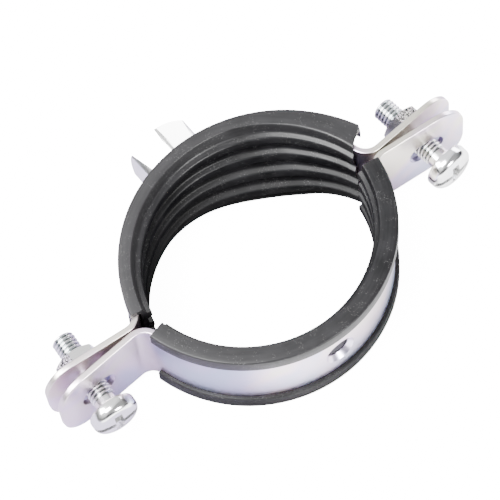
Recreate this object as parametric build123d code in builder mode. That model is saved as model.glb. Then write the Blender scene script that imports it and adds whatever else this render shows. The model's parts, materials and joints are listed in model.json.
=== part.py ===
"""Two-piece pipe clamp with a rubber liner, two clamping screws and a welded connection nut.

+Z runs along the pipe, +X to the right-hand ear and +Y to the connection nut. The origin is on
the axis of the back half's pipe seat, at the middle of the strip's width. The two halves are
drawn closed on nothing, with the roots of their ears together, so the front half's arc is
centred in front of the back half's by closed_overlap.
"""
import os
from math import asin, cos, degrees, radians, sin, sqrt, tan

from build123d import *

os.makedirs("parts", exist_ok=True)

# Steel strip
strip_width = 22.0
strip_thickness = 1.5
bend_radius = 3.5          # hollow side of the bend from arc to ear
edge_round = 0.3           # broken edge of the strip
ear_length = 23.4          # flat part, from bend to tip
ear_corner = 8.0
ear_splay = 4.5            # degrees that each ear leans away from the other half
closed_overlap = 8.0       # distance between the two arc centres with the ears together
ear_gap = 0.3              # between the roots of the closed ears

# Rubber liner
pipe_radius = 30.15
rib_height = 1.3
rib_count = 4
rib_pitch = 5.6
rib_crest = 2.2
rib_foot = 3.2
web_thickness = 2.0        # rubber under the strip, between the ribs
edge_cover = 1.45          # rubber past the strip's edge
lip_thickness = 1.0
lip_overlap = 2.6          # how far a lip reaches in over the strip
lip_round = 0.45
liner_clearance = 0.05

# Clamping screws and their nuts
tip_margin = 11.1          # from the screw's axis to the ear's tip
screw_radius = 3.0
screw_length = 22.0
screw_point = 0.6
neck_radius = 2.8
neck_length = 3.0
head_radius = 5.9
head_height = 4.2
head_dome = 0.9            # rise of the head's top from its edge to the middle
head_round = 2.0           # rounding between the head's side and its top
drive_slot_width = 1.4
drive_cross_length = 6.0
drive_depth = 1.8
hole_radius = 3.3
slot_length = 10.0
slot_width = 6.8
front_travel = 4.5         # how far the front half slides before it meets the heads
head_clearance = 0.3
nut_across_flats = 10.0
nut_height = 5.0
nut_turn = 14              # degrees that the nuts came to rest at when they were fixed
thread_clearance = 0.05
thread_sink = 0.6          # countersink at both ends of every thread
crown_inset = 0.3          # how far inside its flats a nut's chamfer starts
crown_angle = 30           # degrees

# Connection nut on the back half and hole in the front half
boss_across_flats = 16.0
boss_length = 10.0
boss_turn = 30             # degrees, so that two corners point to the strip's edges
boss_bore_radius = 4.25
boss_clearance = 0.3       # between the nut and the lips of the liner
band_hole_radius = 3.2
band_hole_rim = 4.35

# Radii of the layers, from the pipe outwards
valley_radius = pipe_radius + rib_height
strip_inner = valley_radius + web_thickness + liner_clearance
strip_outer = strip_inner + strip_thickness
lip_outer = strip_outer + liner_clearance + lip_thickness
liner_half_width = strip_width / 2 + liner_clearance + edge_cover

# Each half is drawn in a plane of its own, with its arc centred on the plane's origin
back = Plane.XY
front = Plane((0, closed_overlap, 0), x_dir=(1, 0, 0), z_dir=(0, 0, -1))
sides = {"left": -1, "right": 1}

# The bend from arc to ear, in the half's plane
screw_station = ear_length - tip_margin
splay = radians(ear_splay)
strip_middle = (strip_inner + strip_outer) / 2
bend_middle = bend_radius + strip_thickness / 2
bend_y = (closed_overlap + ear_gap) / 2 + bend_radius + strip_thickness
arc_end = asin(bend_y / (strip_middle + bend_middle))
bend_x = (strip_middle + bend_middle) * cos(arc_end)
ear_root_x = bend_x + (bend_radius + strip_thickness) * sin(splay)
ear_root_y = bend_y - (bend_radius + strip_thickness) * cos(splay)
arc_end_angle = degrees(arc_end)
arc_span = 180 - 2 * arc_end_angle


def ear_plane(half, side, station):
    """Plane on the ear's inner face, its x along the ear to the tip and its z to the outside."""
    at = (
        side * (ear_root_x + station * cos(splay)),
        ear_root_y + station * sin(splay),
        0,
    )
    along = (side * cos(splay), sin(splay), 0)
    outward = (-side * sin(splay), cos(splay), 0)
    origin = half.from_local_coords((0, 0, 0))
    return Plane(
        half.from_local_coords(at),
        x_dir=half.from_local_coords(along) - origin,
        z_dir=half.from_local_coords(outward) - origin,
    )


def axial_plane(plane):
    """Plane through a hole's axis, with y along the axis, for profiles that are turned round it."""
    return Plane(plane.origin, x_dir=plane.x_dir, z_dir=-plane.y_dir)


def strip_blank(half):
    """The bent strip of one half, before its holes: arc, two bends and two ears."""
    tip = ear_plane(Plane.XY, 1, ear_length).origin
    thickness = Vector(-sin(splay), cos(splay)) * strip_thickness
    root = Vector(ear_root_x, ear_root_y)
    bend_centre = (bend_x, bend_y)
    turn = 90 + ear_splay - arc_end_angle
    with BuildSketch(half) as section:
        with BuildLine():
            CenterArc((0, 0), strip_outer, 90, arc_end_angle - 90)
            CenterArc(bend_centre, bend_radius, 180 + arc_end_angle, turn)
            Line(root + thickness, tip + thickness)
            Line(tip + thickness, tip)
            Line(tip, root)
            CenterArc(bend_centre, bend_radius + strip_thickness, 270 + ear_splay, -turn)
            CenterArc((0, 0), strip_inner, arc_end_angle, 90 - arc_end_angle)
            mirror(about=Plane.YZ)
        make_face()
    with BuildPart() as blank:
        extrude(section.sketch, amount=strip_width / 2, both=True)
        flats = blank.faces().filter_by(GeomType.PLANE).sort_by(Axis.X)
        tip_edges = flats[0].edges() + flats[-1].edges()
        fillet(tip_edges.filter_by(Axis.Z, reverse=True), ear_corner)
        rims = blank.faces().filter_by(Axis.Z).edges()
        fillet(rims.filter_by(lambda edge: edge.length > ear_corner), edge_round)
    return blank.part


def lined_channel(half):
    """The rubber of one half: a channel round the strip's edges with ribs towards the pipe."""
    inner_side = strip_inner - liner_clearance
    outer_side = strip_outer + liner_clearance
    slot_half = strip_width / 2 + liner_clearance
    lip_end = strip_width / 2 - lip_overlap
    start = Plane(
        half.origin,
        x_dir=half.from_local_coords((cos(arc_end), sin(arc_end), 0)) - half.origin,
        z_dir=half.from_local_coords((sin(arc_end), -cos(arc_end), 0)) - half.origin,
    )
    with BuildSketch(start) as section:
        with BuildLine():
            Polyline(
                (valley_radius, -liner_half_width),
                (lip_outer, -liner_half_width),
                (lip_outer, -lip_end),
                (outer_side, -lip_end),
                (outer_side, -slot_half),
                (inner_side, -slot_half),
                (inner_side, slot_half),
                (outer_side, slot_half),
                (outer_side, lip_end),
                (lip_outer, lip_end),
                (lip_outer, liner_half_width),
                (valley_radius, liner_half_width),
                close=True,
            )
        make_face()
        rows = section.vertices().group_by(Axis.Y)
        fillet(rows[0] + rows[-1], lip_round)
        for index in range(rib_count):
            height = (index - (rib_count - 1) / 2) * rib_pitch
            with Locations((valley_radius, height)):
                Polygon(
                    (rib_height / 2, -rib_foot / 2),
                    (rib_height / 2, rib_foot / 2),
                    (-rib_height, rib_crest / 2),
                    (-rib_height, -rib_crest / 2),
                    align=None,
                )
    with BuildPart() as channel:
        revolve(section.sketch, axis=Axis(half.origin, half.z_dir), revolution_arc=arc_span)
    return channel.part


def hexagon_nut(face, across_flats, height, bore_radius, turn, foot=0):
    """A hexagon nut with chamfered corners and a countersunk bore, reaching below its face by foot."""
    corner_radius = across_flats / 2 / cos(radians(30))
    crown_radius = across_flats / 2 - crown_inset
    corner_drop = (corner_radius - crown_radius) * tan(radians(crown_angle))
    mouth_radius = bore_radius + thread_sink
    with BuildPart() as nut:
        with BuildSketch(face.offset(-foot)):
            RegularPolygon(across_flats / 2, 6, major_radius=False, rotation=turn)
        extrude(amount=foot + height)
        with BuildSketch(axial_plane(face)):
            Polygon(
                (0, -foot),
                (crown_radius, -foot),
                (corner_radius, corner_drop - foot),
                (corner_radius, height - corner_drop),
                (crown_radius, height),
                (0, height),
                align=None,
            )
        revolve(axis=Axis(face.origin, face.z_dir), mode=Mode.INTERSECT)
        with BuildSketch(axial_plane(face)):
            Polygon(
                (0, -height),
                (mouth_radius, -height),
                (mouth_radius, 0),
                (bore_radius, thread_sink),
                (bore_radius, height - thread_sink),
                (mouth_radius, height),
                (0, height),
                align=None,
            )
        revolve(axis=Axis(face.origin, face.z_dir), mode=Mode.SUBTRACT)
    return nut.part


# Back half: strip with a round hole in each ear
with BuildPart() as back_band:
    add(strip_blank(back))
    for side in sides.values():
        with BuildSketch(ear_plane(back, side, screw_station)):
            Circle(hole_radius)
        extrude(amount=strip_thickness, mode=Mode.SUBTRACT)

# Front half: strip with a slot in each ear and a countersunk hole at the middle of the arc
with BuildPart() as front_band:
    add(strip_blank(front))
    for side in sides.values():
        with BuildSketch(ear_plane(front, side, screw_station)):
            SlotOverall(slot_length, slot_width)
        extrude(amount=strip_thickness, mode=Mode.SUBTRACT)
    hole_face = Plane(
        front.from_local_coords((0, strip_outer, 0)),
        x_dir=(1, 0, 0),
        z_dir=(0, -1, 0),
    )
    with Locations(hole_face):
        CounterSinkHole(band_hole_radius, band_hole_rim)

# Liners, with the back one notched round the connection nut
with BuildPart() as front_liner:
    add(lined_channel(front))

boss_face = Plane((0, strip_outer, 0), x_dir=(1, 0, 0), z_dir=(0, 1, 0))
with BuildPart() as back_liner:
    add(lined_channel(back))
    with BuildSketch(boss_face.offset(-strip_thickness)):
        notch_radius = boss_across_flats / 2 + boss_clearance
        RegularPolygon(notch_radius, 6, major_radius=False, rotation=boss_turn)
    extrude(amount=strip_thickness + lip_thickness + boss_clearance, mode=Mode.SUBTRACT)

# Connection nut, its foot shaped to the back strip that it is welded to
with BuildPart() as boss:
    foot = strip_outer - sqrt(strip_outer**2 - boss_across_flats**2 / 3)
    add(hexagon_nut(boss_face, boss_across_flats, boss_length, boss_bore_radius, boss_turn, foot))
    Cylinder(strip_outer, strip_width, mode=Mode.SUBTRACT)

# Distance along a screw from the back ear's inner face to the head, with the front half's travel
ear_reach = ear_root_y + screw_station * sin(splay)
ears_together = 2 * ear_reach - closed_overlap + strip_thickness
head_tilt_room = head_radius * tan(2 * splay)
head_seat = ears_together + front_travel + head_tilt_room + head_clearance


def pan_screw(ear):
    """A pan head screw with a plain neck and a slot and cross drive, square to a back ear."""
    crown = -head_seat - head_height
    tip = screw_length - head_seat
    head_top = Plane(ear.origin + ear.z_dir * crown, x_dir=ear.x_dir, z_dir=ear.z_dir)
    with BuildPart() as screw:
        with BuildSketch(axial_plane(ear)) as outline:
            with BuildLine():
                Polyline(
                    (head_radius, crown + head_dome),
                    (head_radius, -head_seat),
                    (neck_radius, -head_seat),
                    (neck_radius, neck_length - head_seat),
                    (screw_radius, neck_length - head_seat),
                    (screw_radius, tip - screw_point),
                    (screw_radius - screw_point, tip),
                    (0, tip),
                    (0, crown),
                )
                dome_radius = (head_radius**2 + head_dome**2) / 2 / head_dome
                RadiusArc((0, crown), (head_radius, crown + head_dome), -dome_radius)
            make_face()
            head_corners = outline.vertices().group_by(Axis.X)[-1]
            fillet(head_corners.sort_by(Axis.Y)[0], head_round)
        revolve(axis=Axis(ear.origin, ear.z_dir))
        with BuildSketch(head_top):
            Rectangle(2 * head_radius, drive_slot_width)
            Rectangle(drive_slot_width, drive_cross_length)
        extrude(amount=drive_depth, mode=Mode.SUBTRACT)
    return screw.part


# Nuts and screws, then one file for each piece
pieces = {
    "back_band": back_band,
    "front_band": front_band,
    "back_liner": back_liner,
    "front_liner": front_liner,
    "boss": boss,
}
for name, side in sides.items():
    ear = ear_plane(back, side, screw_station)
    seat = ear.offset(strip_thickness)
    nut_bore = screw_radius + thread_clearance
    with BuildPart() as nut:
        add(hexagon_nut(seat, nut_across_flats, nut_height, nut_bore, nut_turn))
    with BuildPart() as screw:
        add(pan_screw(ear))
    pieces[f"nut_{name}"] = nut
    pieces[f"screw_{name}"] = screw

for name, piece in pieces.items():
    piece.part.label = name
    export_step(piece.part, f"parts/{name}.step")
    print(name, len(piece.part.solids()), round(piece.part.volume, 1), piece.part.bounding_box())
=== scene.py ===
"""Looks of a two-piece pipe clamp with a rubber liner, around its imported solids.

Everything is in metres in the clamp's own frame: +Z along the pipe, +X to the right-hand ear and
+Y to the connection nut.
"""
import json
from math import cos, exp, pi, radians, sin, tan

import bmesh
import bpy
from mathutils import Matrix, Vector


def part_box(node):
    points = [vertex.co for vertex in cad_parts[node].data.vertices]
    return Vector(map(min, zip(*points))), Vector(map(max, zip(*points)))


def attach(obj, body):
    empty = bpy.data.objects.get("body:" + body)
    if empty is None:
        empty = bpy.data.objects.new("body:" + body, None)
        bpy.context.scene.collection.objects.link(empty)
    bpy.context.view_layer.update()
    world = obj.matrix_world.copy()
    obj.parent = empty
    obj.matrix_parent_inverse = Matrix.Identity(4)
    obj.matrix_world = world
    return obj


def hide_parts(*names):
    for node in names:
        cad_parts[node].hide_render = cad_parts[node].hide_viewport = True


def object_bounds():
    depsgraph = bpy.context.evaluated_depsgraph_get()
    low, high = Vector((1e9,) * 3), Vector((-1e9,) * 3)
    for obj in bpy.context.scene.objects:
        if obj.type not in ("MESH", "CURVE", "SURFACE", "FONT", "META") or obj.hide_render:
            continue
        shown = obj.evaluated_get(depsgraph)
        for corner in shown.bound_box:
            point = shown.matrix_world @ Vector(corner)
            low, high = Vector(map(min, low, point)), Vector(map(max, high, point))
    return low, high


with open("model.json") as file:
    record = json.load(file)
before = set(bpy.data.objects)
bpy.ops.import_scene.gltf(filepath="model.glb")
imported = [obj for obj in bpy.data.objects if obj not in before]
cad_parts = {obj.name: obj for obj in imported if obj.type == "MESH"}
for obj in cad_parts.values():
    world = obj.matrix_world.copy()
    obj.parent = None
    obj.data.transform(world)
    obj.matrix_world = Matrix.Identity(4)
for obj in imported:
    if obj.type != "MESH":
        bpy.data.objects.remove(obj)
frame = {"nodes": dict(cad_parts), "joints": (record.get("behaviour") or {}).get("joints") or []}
cad_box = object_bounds()
mm = 0.001


# Camera: a long lens in front of the left ear, looking steeply down on the clamp as it lies on
# its side, and rolled a little.
camera_azimuth = radians(-30.91)
camera_elevation = radians(63.28)
camera_roll = radians(-8.01)
camera_distance = 592.4 * mm
camera_aside = -4.73 * mm
camera_raised = 5.07 * mm
lens_length = 178.25


def camera_axes(azimuth, elevation, roll):
    """The camera's right, up and backward directions."""
    level = Vector((cos(azimuth), sin(azimuth), 0))
    backward = Vector((
        sin(azimuth) * cos(elevation),
        -cos(azimuth) * cos(elevation),
        sin(elevation),
    ))
    upright = backward.cross(level)
    right = level * cos(roll) + upright * sin(roll)
    return right, backward.cross(right), backward


camera_data = bpy.data.cameras.new("camera")
camera_data.lens = lens_length
camera_data.clip_start = 10 * mm
camera = bpy.data.objects.new("camera", camera_data)
bpy.context.scene.collection.objects.link(camera)
right, up, backward = camera_axes(camera_azimuth, camera_elevation, camera_roll)
stand = backward * camera_distance + right * camera_aside + up * camera_raised
facing = Matrix((right, up, backward)).transposed().to_4x4()
camera.matrix_world = Matrix.Translation(stand) @ facing
bpy.context.scene.camera = camera


# Steel bands: two halves of bent, zinc-plated strip, each with an ear at both ends. The plate
# keeps faint lines along the strip.
band_of_body = {"back_half": "back_band", "front_half": "front_band"}
solid_crease = radians(30)   # edges of the solids' copies that turn more than this stay sharp


def add_object(name, mesh):
    """Puts a mesh in the scene as an object of that name."""
    piece = bpy.data.objects.new(name, mesh)
    bpy.context.scene.collection.objects.link(piece)
    return piece


def new_material(name):
    """A node material, its tree and its Principled shader."""
    material = bpy.data.materials.new(name)
    material.use_nodes = True
    tree = material.node_tree
    return material, tree, tree.nodes["Principled BSDF"]


def node(tree, kind, values=None, **settings):
    """Adds a node with its settings and the values of its inputs."""
    made = tree.nodes.new(kind)
    for key, value in settings.items():
        setattr(made, key, value)
    for key, value in (values or {}).items():
        made.inputs[key].default_value = value
    return made


def ramp(tree, factor, stops):
    """A colour ramp over factor, from (position, colour or grey) stops."""
    made = node(tree, "ShaderNodeValToRGB")
    tree.links.new(factor, made.inputs["Fac"])
    elements = made.color_ramp.elements
    while len(elements) < len(stops):
        elements.new(0.5)
    for element, (position, colour) in zip(elements, stops):
        element.position = position
        if not isinstance(colour, tuple):
            colour = (colour, colour, colour, 1)
        element.color = colour
    return made.outputs["Color"]


def group_tree(name, inputs, outputs):
    """A shader node group with named float inputs and named outputs."""
    tree = bpy.data.node_groups.new(name, "ShaderNodeTree")
    for title, value in inputs.items():
        socket = tree.interface.new_socket(title, in_out="INPUT", socket_type="NodeSocketFloat")
        socket.default_value = value
    for title, kind in outputs.items():
        tree.interface.new_socket(title, in_out="OUTPUT", socket_type=kind)
    return tree, tree.nodes.new("NodeGroupInput"), tree.nodes.new("NodeGroupOutput")


def plating_group():
    """Zinc plate: soft clouds of blue, rose and straw, fine rolling lines and a faint grain."""
    tree, given, result = group_tree(
        "zinc_plate",
        {"Clouds": 60.0, "Lines": 900.0, "Line Length": 25.0, "Grain": 3500.0},
        {"Color": "NodeSocketColor", "Roughness": "NodeSocketFloat", "Height": "NodeSocketFloat"},
    )
    place = node(tree, "ShaderNodeTexCoord").outputs["Object"]
    clouds = node(tree, "ShaderNodeTexNoise", {"Detail": 2.0, "Roughness": 0.5, "Distortion": 0.8})
    tree.links.new(place, clouds.inputs["Vector"])
    tree.links.new(given.outputs["Clouds"], clouds.inputs["Scale"])
    tint = ramp(tree, clouds.outputs["Fac"], [
        (0.32, (0.62, 0.66, 0.76, 1)),
        (0.44, (0.70, 0.68, 0.80, 1)),
        (0.54, (0.80, 0.72, 0.79, 1)),
        (0.66, (0.82, 0.79, 0.74, 1)),
    ])
    stretch = node(tree, "ShaderNodeCombineXYZ")
    tree.links.new(given.outputs["Line Length"], stretch.inputs["X"])
    tree.links.new(given.outputs["Line Length"], stretch.inputs["Y"])
    tree.links.new(given.outputs["Lines"], stretch.inputs["Z"])
    along = node(tree, "ShaderNodeVectorMath", operation="MULTIPLY")
    tree.links.new(place, along.inputs[0])
    tree.links.new(stretch.outputs["Vector"], along.inputs[1])
    lines = node(tree, "ShaderNodeTexNoise", {"Scale": 1.0, "Detail": 4.0, "Roughness": 0.6})
    tree.links.new(along.outputs["Vector"], lines.inputs["Vector"])
    grain = node(tree, "ShaderNodeTexNoise", {"Detail": 2.0})
    tree.links.new(place, grain.inputs["Vector"])
    tree.links.new(given.outputs["Grain"], grain.inputs["Scale"])
    height = node(tree, "ShaderNodeMath", {1: 0.35}, operation="MULTIPLY_ADD")
    tree.links.new(grain.outputs["Fac"], height.inputs[0])
    tree.links.new(lines.outputs["Fac"], height.inputs[2])
    gloss = ramp(tree, lines.outputs["Fac"], [(0.3, 0.25), (0.7, 0.29)])
    tree.links.new(tint, result.inputs["Color"])
    tree.links.new(gloss, result.inputs["Roughness"])
    tree.links.new(height.outputs["Value"], result.inputs["Height"])
    return tree


plating = plating_group()


def zinc_material(name, brightness, saturation, gloss, lines, clouds, bump):
    """Zinc plate on steel, from the shared group, with its own scale and strength, and painted
    shade in thread roots.
    """
    material, tree, shader = new_material(name)
    shader.inputs["Metallic"].default_value = 1.0
    plate = node(tree, "ShaderNodeGroup", node_tree=plating)
    plate.inputs["Lines"].default_value = lines
    plate.inputs["Clouds"].default_value = clouds
    tone = node(tree, "ShaderNodeHueSaturation", {"Saturation": saturation, "Value": brightness})
    tree.links.new(plate.outputs["Color"], tone.inputs["Color"])
    # Painted shade: the roots of threads are darkened to grey, standing in for the shade in the
    # thread's valleys.
    root = node(tree, "ShaderNodeAttribute", attribute_name="thread_root")
    painted_root_shade = node(tree, "ShaderNodeMix", data_type="RGBA")
    tree.links.new(root.outputs["Fac"], painted_root_shade.inputs["Factor"])
    tree.links.new(tone.outputs["Color"], painted_root_shade.inputs["A"])
    painted_root_shade.inputs["B"].default_value = (0.24, 0.27, 0.27, 1)
    tree.links.new(painted_root_shade.outputs["Result"], shader.inputs["Base Color"])
    smooth = node(tree, "ShaderNodeMath", {1: gloss}, operation="MULTIPLY")
    tree.links.new(plate.outputs["Roughness"], smooth.inputs[0])
    tree.links.new(smooth.outputs["Value"], shader.inputs["Roughness"])
    relief = node(tree, "ShaderNodeBump", {"Strength": bump, "Distance": 0.02 * mm})
    tree.links.new(plate.outputs["Height"], relief.inputs["Height"])
    tree.links.new(relief.outputs["Normal"], shader.inputs["Normal"])
    return material


def finish_with(mesh, material):
    """Gives a whole mesh one material."""
    mesh.materials.clear()
    mesh.materials.append(material)
    mesh.polygons.foreach_set("material_index", [0] * len(mesh.polygons))


def merged_copy(source):
    """A copy of a solid's mesh as one closed skin, smooth except over its sharp edges."""
    mesh = frame["nodes"][source].data.copy()
    shell = bmesh.new()
    shell.from_mesh(mesh)
    bmesh.ops.remove_doubles(shell, verts=shell.verts, dist=0.001 * mm)
    for face in shell.faces:
        face.smooth = True
    for edge in shell.edges:
        edge.smooth = edge.is_manifold and edge.calc_face_angle(pi) < solid_crease
    shell.to_mesh(mesh)
    shell.free()
    mesh.materials.clear()
    return mesh


strip_zinc = zinc_material("strip_zinc", 1.08, 1.6, 1.1, 700.0, 45.0, 0.02)
for body, band in band_of_body.items():
    piece = add_object(band + "_plated", merged_copy(band))
    piece.data.materials.append(strip_zinc)
    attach(piece, body)
    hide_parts(band)


# Liners: extruded black rubber channels that grip both edges of the strip, with four ribs towards
# the pipe. The back one has slackened: its lower edge sags inwards, and its right end stands off.
halves_overlap = 8 * mm
arc_centre = {"back": Vector((0, 0, 0)), "front": Vector((0, halves_overlap, 0))}
arc_end = radians(13.75)
lip_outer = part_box("back_liner")[1].y
liner_half_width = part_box("back_liner")[1].z
valley_radius = 31.45 * mm
channel_inner = 33.45 * mm
channel_outer = 35.05 * mm
channel_half_width = 11.05 * mm
lip_end = 8.4 * mm
rib_count = 4
rib_pitch = 5.6 * mm
rib_height = 1.3 * mm
rib_crest = 2.2 * mm
rib_foot = 3.2 * mm
liner_round = 0.45 * mm
inner_round = 0.4 * mm
rib_round = 0.5 * mm
corner_steps = 3
rubber_crease = radians(40)
liner_steps = 120
sag_depth = 5.9 * mm
sag_turn = radians(52)
sag_spread = radians(43)
sag_held = 0.8               # share of the sag that the right-hand end keeps back
left_spring_turn = radians(155)
left_spring_spread = radians(25)
end_reach = radians(25)      # how far from an end the rubber still follows it
stand_off_all = 2.25 * mm
stand_off_right = 1.8 * mm
stand_off_back = -2.7 * mm
top_lean = 0.7 * mm
edge_lean = 0.8 * mm
edge_lean_share = 0.1        # of the liner's height, from its upper face down
left_spring = 1.2 * mm
left_creep = 2.0 * mm
wall_room = 1.85 * mm
end_slant = 3.3 * mm
end_slant_outer = 0.75
front_creep = 2.6 * mm
front_lip_creep = 0.5        # share of the creep where the rubber grips the strip


def rounded_outline(corners):
    """A closed outline from (x, y, radius) corners, with an arc of a few points at each."""
    outline = []
    for index, (x, y, radius) in enumerate(corners):
        at = Vector((x, y))
        before = Vector(corners[index - 1][:2])
        after = Vector(corners[(index + 1) % len(corners)][:2])
        if radius == 0:
            outline.append(at)
            continue
        back_way = (before - at).normalized()
        on_way = (after - at).normalized()
        half_turn = back_way.angle(on_way) / 2
        reach = radius / tan(half_turn)
        centre = at + (back_way + on_way).normalized() * radius / sin(half_turn)
        first = at + back_way * reach - centre
        last = at + on_way * reach - centre
        for step in range(corner_steps + 1):
            share = step / corner_steps
            spoke = first.lerp(last, share).normalized() * radius
            outline.append(centre + spoke)
    return outline


def liner_outline():
    """The rubber's section as (radius, height) points, once round."""
    corners = [
        (valley_radius, -liner_half_width, inner_round),
        (lip_outer, -liner_half_width, liner_round),
        (lip_outer, -lip_end, rib_round),
        (channel_outer, -lip_end, 0),
        (channel_outer, -channel_half_width, 0),
        (channel_inner, -channel_half_width, 0),
        (channel_inner, channel_half_width, 0),
        (channel_outer, channel_half_width, 0),
        (channel_outer, lip_end, 0),
        (lip_outer, lip_end, rib_round),
        (lip_outer, liner_half_width, liner_round),
        (valley_radius, liner_half_width, inner_round),
    ]
    for index in reversed(range(rib_count)):
        height = (index - (rib_count - 1) / 2) * rib_pitch
        corners += [
            (valley_radius, height + rib_foot / 2, rib_round),
            (valley_radius - rib_height, height + rib_crest / 2, rib_round),
            (valley_radius - rib_height, height - rib_crest / 2, rib_round),
            (valley_radius, height - rib_foot / 2, rib_round),
        ]
    return rounded_outline(corners)


def slackened(radius, height, turn):
    """Where a point of the back liner's section lies once the rubber has slackened.

    The liner has crept round the strip towards its left end, so its right end stands off, its
    lower edge sags inwards and the right-hand cut runs aslant. Its floor stays inside the strip.
    """
    downward = (liner_half_width - height) / (2 * liner_half_width)
    inside = min(1, max(0, (channel_inner - radius) / (channel_inner - valley_radius)))
    stand_off = stand_off_all + stand_off_right * cos(turn) + stand_off_back * sin(turn)
    near_top = max(0, 1 - downward / edge_lean_share)
    lean = (top_lean * (1 - 2 * downward) + edge_lean * near_top) * inside
    lifted = min(stand_off + lean, wall_room + (stand_off - wall_room) * (1 - inside))
    on_floor = abs(radius - channel_inner) < 0.01 * mm
    if on_floor:
        lifted = min(lifted, 0)
    sag = sag_depth * exp(-((turn - sag_turn) / sag_spread) ** 2)
    sag -= left_spring * exp(-((turn - left_spring_turn) / left_spring_spread) ** 2)
    right_end = max(0, 1 - (turn - arc_end) / end_reach) ** 2
    left_end = max(0, 1 - (pi - arc_end - turn) / end_reach) ** 2
    sag *= downward * inside * (1 - sag_held * right_end)
    outer = (radius - valley_radius) / (lip_outer - valley_radius)
    slip = end_slant * right_end * (outer * end_slant_outer - downward) + left_creep * left_end
    return radius + lifted - sag, height, turn + slip / channel_outer


def liner_mesh(name, half, mirrored, shift):
    """The section swept round the half's arc, with flat ends."""
    outline = liner_outline()
    shell = bmesh.new()
    rings = []
    for step in range(liner_steps + 1):
        turn = arc_end + (pi - 2 * arc_end) * step / liner_steps
        ring = []
        for point in outline:
            radius, height, at = shift(point.x, point.y, turn)
            across = radius * cos(at)
            ahead = radius * sin(at) * (-1 if mirrored else 1)
            ring.append(shell.verts.new(arc_centre[half] + Vector((across, ahead, height))))
        rings.append(ring)
    for near, far in zip(rings, rings[1:]):
        for index in range(len(outline)):
            following = (index + 1) % len(outline)
            shell.faces.new((near[index], near[following], far[following], far[index]))
    shell.faces.new(rings[0])
    shell.faces.new(rings[-1])
    bmesh.ops.recalc_face_normals(shell, faces=shell.faces)
    for face in shell.faces:
        face.smooth = True
    for edge in shell.edges:
        edge.smooth = edge.calc_face_angle(pi) < rubber_crease
    mesh = bpy.data.meshes.new(name)
    shell.to_mesh(mesh)
    shell.free()
    return mesh


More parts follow.
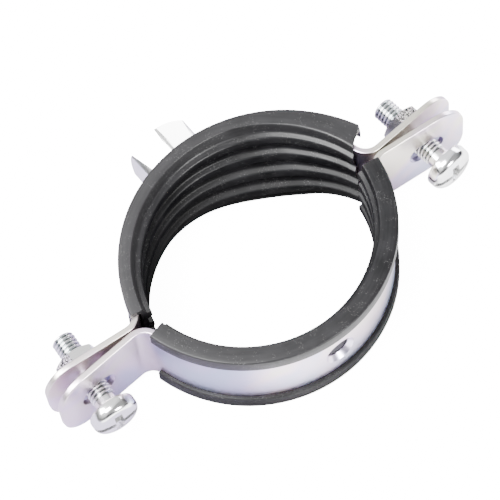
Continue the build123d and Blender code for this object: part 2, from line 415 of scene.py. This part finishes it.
def rubber_group():
    """Extruded rubber: extrusion lines, clouds, specks, and a grey on its edges that is dust and
    painted sheen.
    """
    tree, given, result = group_tree(
        "extruded_rubber",
        {"Centre X": 0.0, "Centre Y": 0.0, "Dust Sheen Left": 0.5, "Dust Sheen Right": 0.5},
        {"Color": "NodeSocketColor", "Roughness": "NodeSocketFloat", "Height": "NodeSocketFloat"},
    )
    place = node(tree, "ShaderNodeTexCoord").outputs["Object"]
    centre = node(tree, "ShaderNodeCombineXYZ")
    tree.links.new(given.outputs["Centre X"], centre.inputs["X"])
    tree.links.new(given.outputs["Centre Y"], centre.inputs["Y"])
    centred = node(tree, "ShaderNodeVectorMath", operation="SUBTRACT")
    tree.links.new(place, centred.inputs[0])
    tree.links.new(centre.outputs["Vector"], centred.inputs[1])
    parts = node(tree, "ShaderNodeSeparateXYZ")
    tree.links.new(centred.outputs["Vector"], parts.inputs["Vector"])
    flat = node(tree, "ShaderNodeCombineXYZ")
    tree.links.new(parts.outputs["X"], flat.inputs["X"])
    tree.links.new(parts.outputs["Y"], flat.inputs["Y"])
    radius = node(tree, "ShaderNodeVectorMath", operation="LENGTH")
    tree.links.new(flat.outputs["Vector"], radius.inputs[0])
    turn = node(tree, "ShaderNodeMath", operation="ARCTAN2")
    tree.links.new(parts.outputs["Y"], turn.inputs[0])
    tree.links.new(parts.outputs["X"], turn.inputs[1])
    short_turn = node(tree, "ShaderNodeMath", {1: 0.0015}, operation="MULTIPLY")
    tree.links.new(turn.outputs["Value"], short_turn.inputs[0])
    along = node(tree, "ShaderNodeCombineXYZ")
    tree.links.new(radius.outputs["Value"], along.inputs["X"])
    tree.links.new(short_turn.outputs["Value"], along.inputs["Y"])
    tree.links.new(parts.outputs["Z"], along.inputs["Z"])
    lines = node(tree, "ShaderNodeTexNoise", {"Scale": 2600.0, "Detail": 5.0, "Roughness": 0.65})
    tree.links.new(along.outputs["Vector"], lines.inputs["Vector"])
    clouds = node(tree, "ShaderNodeTexNoise", {"Scale": 160.0, "Detail": 4.0})
    tree.links.new(place, clouds.inputs["Vector"])
    surface = node(tree, "ShaderNodeMath", {1: 0.6}, operation="MULTIPLY_ADD")
    tree.links.new(lines.outputs["Fac"], surface.inputs[0])
    tree.links.new(clouds.outputs["Fac"], surface.inputs[2])
    black = ramp(tree, surface.outputs["Value"], [
        (0.60, (0.0025, 0.0025, 0.003, 1)),
        (1.0, (0.010, 0.0098, 0.011, 1)),
    ])
    # Painted sheen with dust: the upper, lower and outer faces are greyed, partly for dust and
    # partly for the light they catch. The grey grows towards the left, as a light from the back
    # left would make it.
    from_middle = node(tree, "ShaderNodeMath", operation="ABSOLUTE")
    tree.links.new(parts.outputs["Z"], from_middle.inputs[0])
    edge = ramp(tree, from_middle.outputs["Value"], [(0.0112, 0.0), (0.0122, 1.0)])
    outside = ramp(tree, radius.outputs["Value"], [(0.0352, 0.0), (0.0356, 1.0)])
    edges = node(tree, "ShaderNodeMath", operation="MAXIMUM")
    tree.links.new(edge, edges.inputs[0])
    tree.links.new(outside, edges.inputs[1])
    spread = node(tree, "ShaderNodeMapRange", {"From Min": -35 * mm, "From Max": 20 * mm})
    tree.links.new(parts.outputs["X"], spread.inputs["Value"])
    tree.links.new(given.outputs["Dust Sheen Left"], spread.inputs["To Min"])
    tree.links.new(given.outputs["Dust Sheen Right"], spread.inputs["To Max"])
    dust_and_sheen = node(tree, "ShaderNodeMath", operation="MULTIPLY")
    tree.links.new(edges.outputs["Value"], dust_and_sheen.inputs[0])
    tree.links.new(spread.outputs["Result"], dust_and_sheen.inputs[1])
    dust_and_sheen_colour = node(tree, "ShaderNodeMix", data_type="RGBA")
    tree.links.new(dust_and_sheen.outputs["Value"], dust_and_sheen_colour.inputs["Factor"])
    tree.links.new(black, dust_and_sheen_colour.inputs["A"])
    dust_and_sheen_colour.inputs["B"].default_value = (0.052, 0.051, 0.053, 1)
    cells = node(tree, "ShaderNodeTexVoronoi", {"Scale": 2600.0, "Randomness": 1.0})
    tree.links.new(place, cells.inputs["Vector"])
    spots = ramp(tree, cells.outputs["Distance"], [(0.12, 1.0), (0.26, 0.0)])
    patches = node(tree, "ShaderNodeTexNoise", {"Scale": 420.0, "Detail": 1.0})
    tree.links.new(place, patches.inputs["Vector"])
    chosen = ramp(tree, patches.outputs["Fac"], [(0.49, 0.0), (0.57, 1.0)])
    dust = node(tree, "ShaderNodeMath", operation="MULTIPLY")
    tree.links.new(spots, dust.inputs[0])
    tree.links.new(chosen, dust.inputs[1])
    dusty = node(tree, "ShaderNodeMix", data_type="RGBA")
    tree.links.new(dust.outputs["Value"], dusty.inputs["Factor"])
    tree.links.new(dust_and_sheen_colour.outputs["Result"], dusty.inputs["A"])
    dusty.inputs["B"].default_value = (0.085, 0.085, 0.085, 1)
    gloss = ramp(tree, lines.outputs["Fac"], [(0.3, 0.28), (0.7, 0.44)])
    depth = node(tree, "ShaderNodeMapRange", {
        "From Min": -9 * mm, "From Max": 7 * mm, "To Min": 0.26, "To Max": 0.0,
    })
    tree.links.new(parts.outputs["Z"], depth.inputs["Value"])
    worn = node(tree, "ShaderNodeMath", operation="ADD")
    tree.links.new(gloss, worn.inputs[0])
    tree.links.new(depth.outputs["Result"], worn.inputs[1])
    tree.links.new(dusty.outputs["Result"], result.inputs["Color"])
    tree.links.new(worn.outputs["Value"], result.inputs["Roughness"])
    tree.links.new(surface.outputs["Value"], result.inputs["Height"])
    return tree


extruded_rubber = rubber_group()


def rubber_material(name, centre, dust_sheen_left, dust_sheen_right):
    """Black rubber from the shared group, with a dull sheen and more or less grey dust and painted
    sheen.
    """
    material, tree, shader = new_material(name)
    rubber = node(tree, "ShaderNodeGroup", node_tree=extruded_rubber)
    rubber.inputs["Centre X"].default_value = centre.x
    rubber.inputs["Centre Y"].default_value = centre.y
    rubber.inputs["Dust Sheen Left"].default_value = dust_sheen_left
    rubber.inputs["Dust Sheen Right"].default_value = dust_sheen_right
    tree.links.new(rubber.outputs["Color"], shader.inputs["Base Color"])
    tree.links.new(rubber.outputs["Roughness"], shader.inputs["Roughness"])
    shader.inputs["Specular IOR Level"].default_value = 0.25
    relief = node(tree, "ShaderNodeBump", {"Strength": 0.5, "Distance": 0.05 * mm})
    tree.links.new(rubber.outputs["Height"], relief.inputs["Height"])
    tree.links.new(relief.outputs["Normal"], shader.inputs["Normal"])
    return material


def crept(radius, height, turn):
    """Where a point of the front liner lies: tight on the strip, but crept past its right end."""
    right_end = max(0, 1 - (turn - arc_end) / end_reach) ** 2
    grips_strip = radius > channel_inner and abs(height) < channel_half_width
    slip = front_creep * right_end * (front_lip_creep if grips_strip else 1)
    return radius, height, turn - slip / channel_outer


# Dust and painted sheen at the left and right of each liner.
rubber_dust_and_sheen = {"back": (0.85, 0.35), "front": (0.55, 0.0)}
for half, mirrored, shift in (("back", False, slackened), ("front", True, crept)):
    rubber = liner_mesh(half + "_liner_rubber", half, mirrored, shift)
    rubber.materials.append(
        rubber_material(half + "_rubber", arc_centre[half], *rubber_dust_and_sheen[half])
    )
    piece = add_object(half + "_liner_rubber", rubber)
    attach(piece, half + "_half")
    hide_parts(half + "_liner")


# Connection nut: a turned hexagon welded to the back of the strip, its bore threaded M10.
# The thread is cut in with a rod of the same form as the screws have.
thread_steps = 12
thread_around = 64
thread_root_share = 0.10     # of a half turn, flat at the root
thread_crest_share = 0.86    # from here on, flat at the crest
boss_thread = {"Major Radius": 5.0 * mm, "Core Radius": 4.15 * mm, "Pitch": 1.5 * mm}
screw_thread = {"Major Radius": 2.96 * mm, "Core Radius": 2.42 * mm, "Pitch": 1.0 * mm}
tap_length = 12 * mm
tap_depth = 10.5 * mm
boss_corner_round = 0.35 * mm
cut_crease = radians(38)


def thread_tree():
    """Geometry Nodes for a threaded rod along +Z from the origin, tapered at both ends."""
    tree = bpy.data.node_groups.new("threaded_rod", "GeometryNodeTree")
    tree.interface.new_socket("Geometry", in_out="OUTPUT", socket_type="NodeSocketGeometry")
    for title in ("Major Radius", "Core Radius", "Pitch", "Length", "Taper"):
        tree.interface.new_socket(title, in_out="INPUT", socket_type="NodeSocketFloat")
    for title in ("Around", "Rows"):
        tree.interface.new_socket(title, in_out="INPUT", socket_type="NodeSocketInt")
    tree.interface.new_socket("Material", in_out="INPUT", socket_type="NodeSocketMaterial")
    given = tree.nodes.new("NodeGroupInput").outputs

    def put(value, socket):
        if isinstance(value, bpy.types.NodeSocket):
            tree.links.new(value, socket)
        else:
            socket.default_value = value

    def calc(operation, *values):
        step = node(tree, "ShaderNodeMath", operation=operation)
        for value, socket in zip(values, step.inputs):
            put(value, socket)
        return step.outputs["Value"]

    grid = node(tree, "GeometryNodeMeshGrid", {"Size X": 1.0, "Size Y": 1.0})
    tree.links.new(given["Around"], grid.inputs["Vertices X"])
    tree.links.new(given["Rows"], grid.inputs["Vertices Y"])
    place = node(tree, "ShaderNodeSeparateXYZ")
    position = node(tree, "GeometryNodeInputPosition").outputs["Position"]
    tree.links.new(position, place.inputs["Vector"])
    turn = calc("ADD", place.outputs["X"], 0.5)
    share = calc("ADD", place.outputs["Y"], 0.5)
    along = calc("MULTIPLY", share, given["Length"])
    turns_along = calc("DIVIDE", along, given["Pitch"])
    phase = calc("FRACT", calc("ADD", calc("SUBTRACT", turns_along, turn), 8.0))
    flank = calc("ABSOLUTE", calc("MULTIPLY_ADD", phase, 2.0, -1.0))
    form_range = {"From Min": thread_root_share, "From Max": thread_crest_share}
    form = node(tree, "ShaderNodeMapRange", form_range, interpolation_type="SMOOTHSTEP")
    tree.links.new(flank, form.inputs["Value"])
    depth = calc("SUBTRACT", given["Major Radius"], given["Core Radius"])
    full = calc("MULTIPLY_ADD", form.outputs["Result"], depth, given["Core Radius"])
    left_over = calc("SUBTRACT", given["Length"], along)
    tip_radius = calc("SUBTRACT", given["Major Radius"], given["Taper"])
    from_tip = calc("ADD", left_over, tip_radius)
    from_start = calc("ADD", along, given["Core Radius"])
    radius = calc("MINIMUM", full, calc("MINIMUM", from_tip, from_start))
    after_start = calc("GREATER_THAN", share, 1e-5)
    before_tip = calc("LESS_THAN", share, 1 - 1e-5)
    radius = calc("MULTIPLY", radius, calc("MULTIPLY", after_start, before_tip))
    angle = calc("MULTIPLY", turn, 2 * pi)
    spot = node(tree, "ShaderNodeCombineXYZ")
    tree.links.new(calc("MULTIPLY", radius, calc("COSINE", angle)), spot.inputs["X"])
    tree.links.new(calc("MULTIPLY", radius, calc("SINE", angle)), spot.inputs["Y"])
    tree.links.new(along, spot.inputs["Z"])
    rooted = node(
        tree, "GeometryNodeStoreNamedAttribute", {"Name": "thread_root"},
        data_type="FLOAT", domain="POINT",
    )
    tree.links.new(grid.outputs["Mesh"], rooted.inputs["Geometry"])
    tree.links.new(calc("SUBTRACT", 1.0, form.outputs["Result"]), rooted.inputs["Value"])
    wrap = node(tree, "GeometryNodeSetPosition")
    tree.links.new(rooted.outputs["Geometry"], wrap.inputs["Geometry"])
    tree.links.new(spot.outputs["Vector"], wrap.inputs["Position"])
    closed = node(tree, "GeometryNodeMergeByDistance", {"Distance": 0.0005 * mm})
    tree.links.new(wrap.outputs["Geometry"], closed.inputs["Geometry"])
    real = tree.nodes.new("GeometryNodeRealizeInstances")
    tree.links.new(closed.outputs["Geometry"], real.inputs["Geometry"])
    painted = tree.nodes.new("GeometryNodeSetMaterial")
    tree.links.new(real.outputs["Geometry"], painted.inputs["Geometry"])
    tree.links.new(given["Material"], painted.inputs["Material"])
    result = tree.nodes.new("NodeGroupOutput")
    tree.links.new(painted.outputs["Geometry"], result.inputs["Geometry"])
    return tree


rod_tree = thread_tree()


def plain_mesh(piece, name):
    """The evaluated mesh of an object with modifiers; the object itself is removed."""
    bpy.context.view_layer.update()
    evaluated = piece.evaluated_get(bpy.context.evaluated_depsgraph_get())
    mesh = bpy.data.meshes.new_from_object(evaluated)
    mesh.name = name
    bpy.data.objects.remove(piece)
    return mesh


def outward(mesh):
    """Merges a mesh's doubles, turns its faces outwards and shades it smooth over soft edges."""
    shell = bmesh.new()
    shell.from_mesh(mesh)
    bmesh.ops.remove_doubles(shell, verts=shell.verts, dist=0.001 * mm)
    bmesh.ops.recalc_face_normals(shell, faces=shell.faces)
    for face in shell.faces:
        face.smooth = True
    for edge in shell.edges:
        edge.smooth = edge.is_manifold and edge.calc_face_angle(pi) < cut_crease
    shell.to_mesh(mesh)
    shell.free()
    return mesh


def threaded_rod(thread, length, taper, material):
    """A plain mesh of a threaded rod from the node tree."""
    piece = add_object("rod", bpy.data.meshes.new("rod"))
    modifier = piece.modifiers.new("thread", "NODES")
    modifier.node_group = rod_tree
    values = dict(thread)
    values["Length"] = length
    values["Taper"] = taper
    values["Around"] = thread_around + 1
    values["Rows"] = round(length / thread["Pitch"] * thread_steps) + 1
    values["Material"] = material
    for item in rod_tree.interface.items_tree:
        if item.in_out == "INPUT":
            modifier[item.identifier] = values[item.name]
    return outward(plain_mesh(piece, "rod"))


def cut_with(mesh, cutter):
    """A mesh after an exact boolean cut with another."""
    piece = add_object("blank", mesh)
    tool = add_object("tool", cutter)
    modifier = piece.modifiers.new("cut", "BOOLEAN")
    modifier.operation = "DIFFERENCE"
    modifier.solver = "EXACT"
    modifier.object = tool
    result = plain_mesh(piece, mesh.name)
    bpy.data.objects.remove(tool)
    return outward(result)


def broken_edges(mesh, width):
    """Breaks the sharp outside corners of a solid's flats with small rounds."""
    shell = bmesh.new()
    shell.from_mesh(mesh)
    corners = []
    for edge in shell.edges:
        upright = abs(edge.verts[0].co.y - edge.verts[1].co.y) > 5 * mm
        if upright and edge.is_manifold and edge.calc_face_angle_signed(0) > radians(45):
            corners.append(edge)
    bmesh.ops.bevel(shell, geom=corners, offset=width, segments=2, affect="EDGES", profile=0.5)
    shell.to_mesh(mesh)
    shell.free()
    return mesh


hardware_zinc = zinc_material("hardware_zinc", 1.3, 0.3, 0.6, 300.0, 110.0, 0.08)
tap_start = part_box("boss")[1].y - tap_depth
tap = threaded_rod(boss_thread, tap_length, 0, hardware_zinc)
tap.transform(Matrix.Translation((0, tap_start, 0)) @ Matrix.Rotation(-pi / 2, 4, "X"))
hexagon = broken_edges(merged_copy("boss"), boss_corner_round)
piece = add_object("boss_plated", cut_with(hexagon, tap))
finish_with(piece.data, hardware_zinc)
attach(piece, "back_half")
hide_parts("boss")


# Hexagon nuts: M6, fixed behind the back ears, with chamfered corners. One flat of each still
# has the pitted, darker skin of the bar that it was cut from.
pitted_flats = {"left": Vector((-0.719, 0, 0.695)), "right": Vector((0.242, 0, 0.970))}
same_direction = 0.98        # cosine above which a face belongs to such a flat


def pitted_material():
    """Zinc plate over a pitted skin: the same plate, broken up by small dark pits."""
    material, tree, shader = new_material("pitted_zinc")
    shader.inputs["Metallic"].default_value = 1.0
    plate = node(tree, "ShaderNodeGroup", node_tree=plating)
    place = node(tree, "ShaderNodeTexCoord").outputs["Object"]
    pits = node(tree, "ShaderNodeTexNoise", {"Scale": 1500.0, "Detail": 3.0, "Roughness": 0.7})
    tree.links.new(place, pits.inputs["Vector"])
    depth = ramp(tree, pits.outputs["Fac"], [(0.44, 0.0), (0.56, 1.0)])
    skin = node(tree, "ShaderNodeMix", data_type="RGBA")
    tree.links.new(depth, skin.inputs["Factor"])
    skin.inputs["A"].default_value = (0.05, 0.05, 0.05, 1)
    tree.links.new(plate.outputs["Color"], skin.inputs["B"])
    tree.links.new(skin.outputs["Result"], shader.inputs["Base Color"])
    tree.links.new(plate.outputs["Roughness"], shader.inputs["Roughness"])
    relief = node(tree, "ShaderNodeBump", {"Strength": 0.8, "Distance": 0.06 * mm})
    tree.links.new(depth, relief.inputs["Height"])
    tree.links.new(relief.outputs["Normal"], shader.inputs["Normal"])
    return material


pitted_zinc = pitted_material()
screw_joints = {}
for joint in frame["joints"]:
    if joint["type"] == "hinge":
        screw_joints["left" if joint["pos_m"][0] < 0 else "right"] = joint
for side in ("left", "right"):
    piece = add_object("nut_" + side + "_plated", merged_copy("nut_" + side))
    piece.data.materials.append(hardware_zinc)
    piece.data.materials.append(pitted_zinc)
    for face in piece.data.polygons:
        if face.normal.dot(pitted_flats[side]) > same_direction:
            face.material_index = 1
    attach(piece, "back_half")
    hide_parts("nut_" + side)


# Clamping screws: M6 pan heads with a slot and a cross, a plain neck and a rolled thread.
head_height = 4.2 * mm
head_radius = 5.9 * mm
head_dome = 0.9 * mm
neck_radius = 2.8 * mm
neck_length = 3.0 * mm
slot_half = 0.7 * mm
cross_reach = 3.1 * mm
drive_depth = 1.8 * mm
cutter_clear = 1.0 * mm      # how far the drive's cutters stand over the head
slot_reach = 8 * mm
slot_draft = 0.15 * mm
cross_draft = 0.3 * mm
neck_chamfer = 0.3 * mm
neck_fillet = 0.25 * mm
rim_chamfer = 0.35 * mm
shoulder_round = 2.0 * mm
shoulder_drop = 1.5 * mm
shoulder_sweep = radians(72)
curve_steps = 8
lathe_around = 72
rod_overlap = 0.2 * mm       # how far the threaded rod runs into the neck
point_taper = 0.5 * mm


def lathe(name, profile):
    """A solid turned about +Z from (radius, height) points that start and end on the axis."""
    shell = bmesh.new()
    rings = []
    for radius, height in profile:
        ring = []
        for step in range(lathe_around):
            angle = 2 * pi * step / lathe_around
            ring.append(shell.verts.new((radius * cos(angle), radius * sin(angle), height)))
        rings.append(ring)
    for near, far in zip(rings, rings[1:]):
        for step in range(lathe_around):
            following = (step + 1) % lathe_around
            shell.faces.new((near[step], near[following], far[following], far[step]))
    mesh = bpy.data.meshes.new(name)
    shell.to_mesh(mesh)
    shell.free()
    return outward(mesh)


def tapered_bar(name, half_length, half_width, floor_level, top_level, draft):
    """A straight-sided cutter, wider at the top, for one arm of a drive recess."""
    corners = []
    for level, widening in ((floor_level, 0), (top_level, draft)):
        for x, y in ((-1, -1), (1, -1), (1, 1), (-1, 1)):
            corners.append((x * (half_length + widening * 2), y * (half_width + widening), level))
    mesh = bpy.data.meshes.new(name)
    mesh.from_pydata(corners, [], [
        (0, 1, 2, 3), (4, 5, 6, 7), (0, 1, 5, 4), (1, 2, 6, 5), (2, 3, 7, 6), (3, 0, 4, 7),
    ])
    return outward(mesh)


def head_profile():
    """Underside, neck and domed top of the head, with the head's seat at height 0."""
    dome_radius = (head_radius ** 2 + head_dome ** 2) / 2 / head_dome
    points = [(0, -neck_length), (neck_radius - neck_chamfer, -neck_length)]
    points += [(neck_radius, -neck_length + neck_chamfer), (neck_radius, -neck_fillet)]
    points += [(neck_radius + neck_fillet, 0), (head_radius - rim_chamfer, 0)]
    points += [(head_radius - 0.1 * mm, 0.1 * mm), (head_radius, rim_chamfer)]
    shoulder = head_height - head_dome - shoulder_drop
    for step in range(curve_steps + 1):
        angle = shoulder_sweep * step / curve_steps
        points.append((
            head_radius - shoulder_round * (1 - cos(angle)),
            shoulder + shoulder_round * sin(angle),
        ))
    last = points[-1][0]
    for step in range(1, curve_steps + 1):
        radius = last * (1 - step / curve_steps)
        drop = dome_radius - (dome_radius ** 2 - radius ** 2) ** 0.5
        points.append((radius, head_height - drop))
    return points


for side, joint in screw_joints.items():
    anchor = Vector(joint["pos_m"])
    towards_head = Vector(joint["axis"])
    screw_points = frame["nodes"]["screw_" + side].data.vertices
    reach = [(vertex.co - anchor).dot(towards_head) for vertex in screw_points]
    seat = max(reach) - head_height
    upright = Vector((0, 0, 1))
    aside = upright.cross(towards_head)
    stance = Matrix((aside, upright, towards_head)).transposed().to_4x4()
    stance.translation = anchor + towards_head * seat
    head = lathe("screw_head", head_profile())
    levels = (head_height - drive_depth, head_height + cutter_clear)
    head = cut_with(head, tapered_bar("slot", slot_reach, slot_half, *levels, slot_draft))
    head = cut_with(head, tapered_bar("cross", slot_half, cross_reach, *levels, cross_draft))
    rod_length = seat - min(reach) - neck_length + rod_overlap
    rod = threaded_rod(screw_thread, rod_length, point_taper, hardware_zinc)
    rod_start = Matrix.Translation((0, 0, rod_overlap - neck_length))
    rod.transform(rod_start @ Matrix.Rotation(pi, 4, "X"))
    head.attributes.new("thread_root", "FLOAT", "POINT")
    whole = bmesh.new()
    whole.from_mesh(head)
    whole.from_mesh(rod)
    mesh = bpy.data.meshes.new("screw_" + side + "_plated")
    whole.to_mesh(mesh)
    whole.free()
    mesh = outward(mesh)
    mesh.transform(stance)
    finish_with(mesh, hardware_zinc)
    piece = add_object("screw_" + side + "_plated", mesh)
    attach(piece, joint["child"])
    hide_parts("screw_" + side)


# Studio: a pale floor under the clamp, a dim room, a wide lamp overhead and three smaller ones.
# The floor glows where the camera sees it, so that it comes out white without glare. For light
# that reaches the clamp it is a dull floor with a painted shadow inside the ring and painted
# shade, tinted lilac, in front of the ears.
floor_half = 2.0
floor_gap = 0.2 * mm
floor_level = cad_box[0].z - floor_gap
floor_mesh = bpy.data.meshes.new("floor")
floor_mesh.from_pydata(
    [
        (-floor_half, -floor_half, floor_level),
        (floor_half, -floor_half, floor_level),
        (floor_half, floor_half, floor_level),
        (-floor_half, floor_half, floor_level),
    ],
    [],
    [(0, 1, 2, 3)],
)
floor = add_object("floor", floor_mesh)
floor_material, floor_tree, floor_shader = new_material("floor_white")
floor_shader.inputs["Base Color"].default_value = (0.95, 0.95, 0.95, 1)
floor_shader.inputs["Roughness"].default_value = 1.0
floor_shader.inputs["Specular IOR Level"].default_value = 0.0
floor_shader.inputs["Emission Color"].default_value = (1, 1, 1, 1)
floor_shader.inputs["Emission Strength"].default_value = 14.0
dull_floor = node(floor_tree, "ShaderNodeBsdfDiffuse")
from_pipe = node(floor_tree, "ShaderNodeVectorMath", operation="LENGTH")
floor_place = node(floor_tree, "ShaderNodeTexCoord").outputs["Object"]
oval = node(floor_tree, "ShaderNodeMapping", {"Scale": (0.88, 1, 0), "Location": (0.001, 0, 0)})
floor_tree.links.new(floor_place, oval.inputs["Vector"])
floor_tree.links.new(oval.outputs["Vector"], from_pipe.inputs[0])
shadow_ring = ramp(floor_tree, from_pipe.outputs["Value"], [
    (0.027, (0.02, 0.02, 0.02, 1)),
    (0.031, (1, 1, 1, 1)),
])
ahead = node(floor_tree, "ShaderNodeSeparateXYZ")
floor_tree.links.new(floor_place, ahead.inputs["Vector"])
rightward = node(floor_tree, "ShaderNodeMath", {1: 0.4}, operation="MULTIPLY")
floor_tree.links.new(ahead.outputs["X"], rightward.inputs[0])
nearness = node(floor_tree, "ShaderNodeMath", {1: -1.0}, operation="MULTIPLY_ADD")
floor_tree.links.new(ahead.outputs["Y"], nearness.inputs[0])
floor_tree.links.new(rightward.outputs["Value"], nearness.inputs[2])
# Painted shade: for light that reaches the clamp, the floor is a dark lilac near the clamp and in
# front of the ears, and white only further forward.
painted_floor_shade = ramp(floor_tree, nearness.outputs["Value"], [
    (0.012, (0.40, 0.37, 0.48, 1)),
    (0.026, (1, 1, 1, 1)),
])
multiplied = {"data_type": "RGBA", "blend_type": "MULTIPLY"}
floor_tone = node(floor_tree, "ShaderNodeMix", {"Factor": 1.0}, **multiplied)
floor_tree.links.new(shadow_ring, floor_tone.inputs["A"])
floor_tree.links.new(painted_floor_shade, floor_tone.inputs["B"])
floor_tree.links.new(floor_tone.outputs["Result"], dull_floor.inputs["Color"])
ray = node(floor_tree, "ShaderNodeLightPath")
seen = node(floor_tree, "ShaderNodeMixShader")
floor_tree.links.new(ray.outputs["Is Camera Ray"], seen.inputs[0])
floor_tree.links.new(dull_floor.outputs["BSDF"], seen.inputs[1])
floor_tree.links.new(floor_shader.outputs["BSDF"], seen.inputs[2])
floor_tree.links.new(seen.outputs["Shader"], floor_tree.nodes["Material Output"].inputs["Surface"])
floor_mesh.materials.append(floor_material)

world = bpy.data.worlds.new("room")
world.use_nodes = True
room = world.node_tree
sky_direction = node(room, "ShaderNodeTexCoord").outputs["Generated"]
upwards = node(room, "ShaderNodeSeparateXYZ")
room.links.new(sky_direction, upwards.inputs["Vector"])
shade = ramp(room, upwards.outputs["Z"], [(0.0, 0.45), (0.15, 0.10), (0.35, 0.40), (0.6, 1.0)])
to_right = node(room, "ShaderNodeVectorMath", {1: (0.6, -0.8, 0.0)}, operation="DOT_PRODUCT")
room.links.new(sky_direction, to_right.inputs[0])
falloff = ramp(room, to_right.outputs["Value"], [(0.0, 1.0), (0.3, 0.3), (0.8, 0.3), (0.95, 0.6)])
walls = node(room, "ShaderNodeMix", {"Factor": 1.0}, **multiplied)
room.links.new(shade, walls.inputs["A"])
room.links.new(falloff, walls.inputs["B"])
room.links.new(walls.outputs["Result"], room.nodes["Background"].inputs["Color"])
room.nodes["Background"].inputs["Strength"].default_value = 1.5
bpy.context.scene.world = world


def soft_lamp(name, place, size, power):
    """A square lamp that faces the clamp."""
    lamp = bpy.data.lights.new(name, "AREA")
    lamp.size = size
    lamp.energy = power
    holder = bpy.data.objects.new(name, lamp)
    holder.location = place
    holder.rotation_euler = (-Vector(place)).to_track_quat("-Z", "Y").to_euler()
    bpy.context.scene.collection.objects.link(holder)


soft_lamp("overhead_lamp", place=(-0.34, 0.04, 0.77), size=0.42, power=22)
soft_lamp("left_lamp", place=(-0.52, 0.31, 0.51), size=0.3, power=8)
soft_lamp("front_lamp", place=(0.15, -0.7, 0.35), size=0.25, power=9)
soft_lamp("right_lamp", place=(0.62, 0.27, 0.17), size=0.3, power=3)
